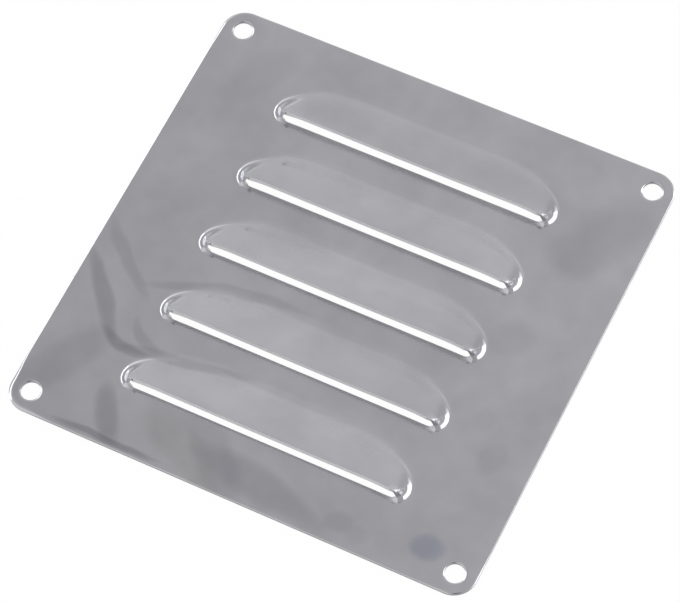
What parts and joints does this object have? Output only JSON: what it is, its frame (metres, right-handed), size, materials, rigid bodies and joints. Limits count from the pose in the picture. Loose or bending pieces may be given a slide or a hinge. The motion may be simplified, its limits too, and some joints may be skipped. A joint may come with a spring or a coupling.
{
  "type": "louvred ventilation panel",
  "caption": "Flat, nearly square sheet metal panel with pressed louvres in a row and a screw hole in each corner; it covers an opening and lets air through.",
  "frame": {"origin": "middle of the flat back face", "axes": "+X along the louvres, +Y from each louvre's mouth to its back, +Z out of the face"},
  "size_m": [0.127, 0.126, 0.0057],
  "materials": {
    "polished_stainless_steel": "polished to a soft mirror, with slight waviness from the press"
  },
  "bodies": {
    "root": {"louvred_panel": "polished_stainless_steel"}
  },
  "joints": []
}
